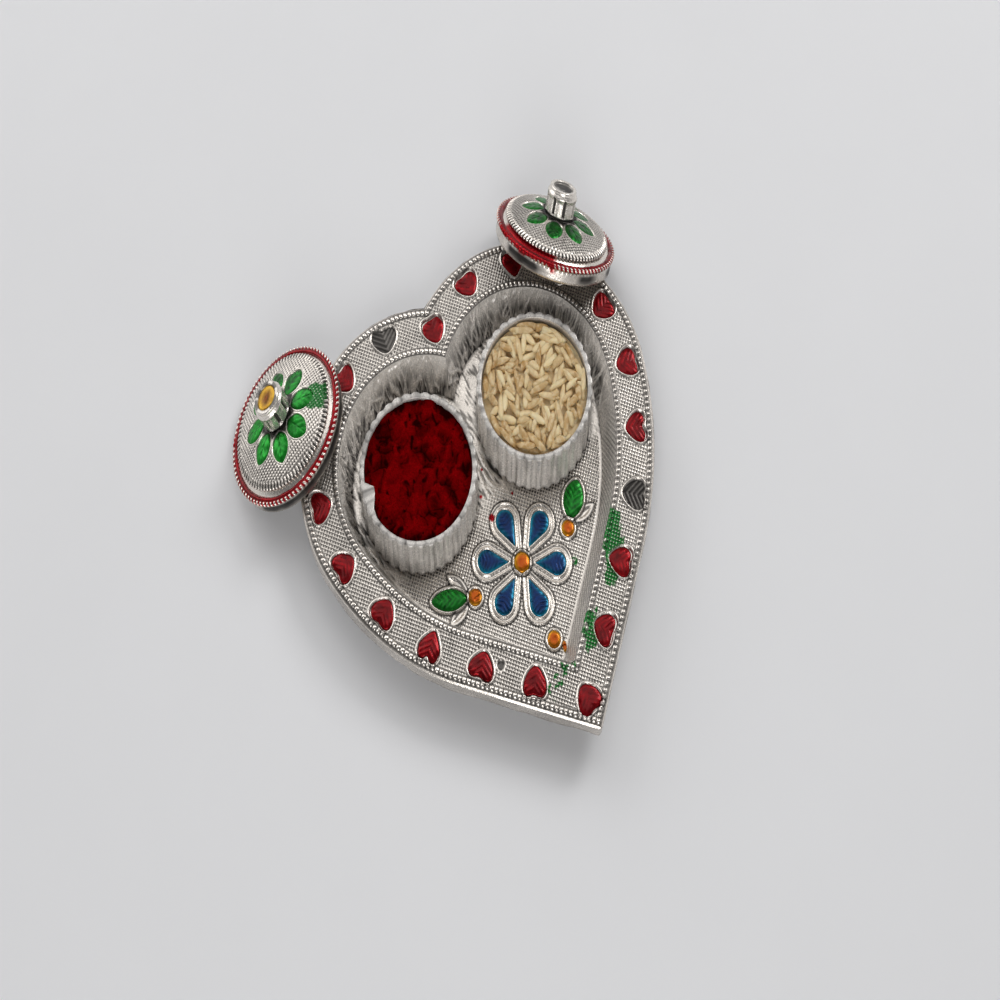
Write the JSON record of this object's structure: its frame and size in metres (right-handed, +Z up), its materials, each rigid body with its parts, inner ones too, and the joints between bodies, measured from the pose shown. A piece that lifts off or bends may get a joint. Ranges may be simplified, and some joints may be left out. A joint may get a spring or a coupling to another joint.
{
  "type": "kumkum plate",
  "caption": "Heart-shaped enamelled metal tray with two fluted cups, filled with kumkum and rice, and two knobbed lids that lean against its rim.",
  "frame": {"origin": "midway between the two cups, on the plane that the tray's flat base stands on", "axes": "+X from the kumkum cup to the rice cup, -Y towards the heart's tip, +Z up"},
  "size_m": [0.1156, 0.1081, 0.0222],
  "materials": {
    "white_metal": "bright stamped white metal, dulled in the hollows",
    "red_enamel": "glossy, hand-laid",
    "blue_enamel": "glossy, hand-laid",
    "green_enamel": "glossy, hand-laid",
    "amber_enamel": "glossy, hand-laid",
    "kumkum": "matt pressed powder",
    "rice": "satin grains"
  },
  "bodies": {
    "plate": {"heart_tray": "white_metal", "kumkum_cup": "white_metal", "rice_cup": "white_metal", "kumkum_cup_rivet": "white_metal", "rice_cup_rivet": "white_metal", "kumkum_powder": "kumkum", "rice_grains": "rice", "rim_heart_enamel": "red_enamel", "petal_enamel": "blue_enamel", "flower_centre_enamel": "amber_enamel", "bud_enamel": "amber_enamel", "leaf_enamel": "green_enamel"},
    "kumkum_cover": {"kumkum_lid": "white_metal", "kumkum_lid_band_enamel": "red_enamel", "kumkum_lid_petal_enamel": "green_enamel", "kumkum_lid_knob": "white_metal", "kumkum_lid_knob_enamel": "amber_enamel", "kumkum_lid_knob_rivet": "white_metal"},
    "rice_cover": {"rice_lid": "white_metal", "rice_lid_band_enamel": "red_enamel", "rice_lid_petal_enamel": "green_enamel", "rice_lid_knob": "white_metal", "rice_lid_knob_rivet": "white_metal"}
  },
  "joints": [
    {"name": "kumkum_lid_lift", "type": "slide", "parent": "plate", "child": "kumkum_cover", "axis": [0, 0, 1], "range_m": [0, 0.04]},
    {"name": "rice_lid_lift", "type": "slide", "parent": "plate", "child": "rice_cover", "axis": [0, 0, 1], "range_m": [0, 0.04]}
  ]
}
